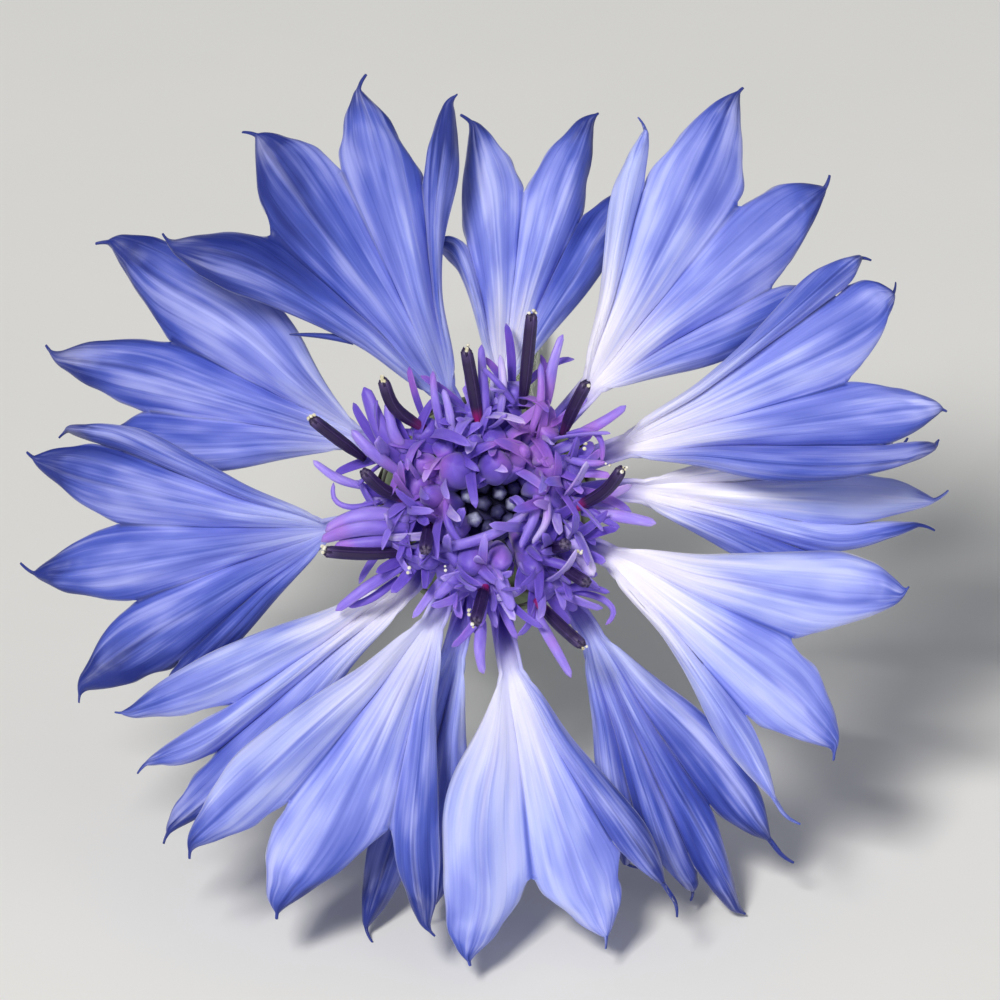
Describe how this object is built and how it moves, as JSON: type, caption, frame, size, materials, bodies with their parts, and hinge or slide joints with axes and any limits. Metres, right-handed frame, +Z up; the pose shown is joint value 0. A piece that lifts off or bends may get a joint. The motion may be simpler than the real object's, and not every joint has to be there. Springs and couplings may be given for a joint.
{
  "type": "cornflower",
  "caption": "Blue cornflower head with trumpet-shaped lobed ray florets round violet disc florets, a scaly green involucre and a short cut stem, lying down.",
  "frame": {"origin": "middle of the bounding box at its base, on the surface that the flower lies on", "axes": "+Z up from that surface; the flower's face looks towards -Y and up, and its stem runs back towards +Y, the longest way; +X is to the right of someone who looks at its face"},
  "size_m": [0.046, 0.0682, 0.0399],
  "materials": {
    "ray_floret": "soft satin petal tissue, finely veined, paler towards the throat",
    "disc_floret": "violet corollas with narrow lobes, dark purple anther tubes and pale pollen",
    "involucre": "matt green bracts with dark fringed margins",
    "stem": "ribbed grey-green stem with a thin white wool"
  },
  "bodies": {
    "root": {"ray_floret_01": "ray_floret", "ray_floret_02": "ray_floret", "ray_floret_03": "ray_floret", "ray_floret_04": "ray_floret", "ray_floret_05": "ray_floret", "ray_floret_06": "ray_floret", "ray_floret_07": "ray_floret", "ray_floret_08": "ray_floret", "ray_floret_09": "ray_floret", "ray_floret_10": "ray_floret", "ray_floret_11": "ray_floret", "ray_floret_12": "ray_floret", "ray_floret_13": "ray_floret", "disc_florets": "disc_floret", "involucre": "involucre", "stem": "stem"}
  },
  "joints": []
}
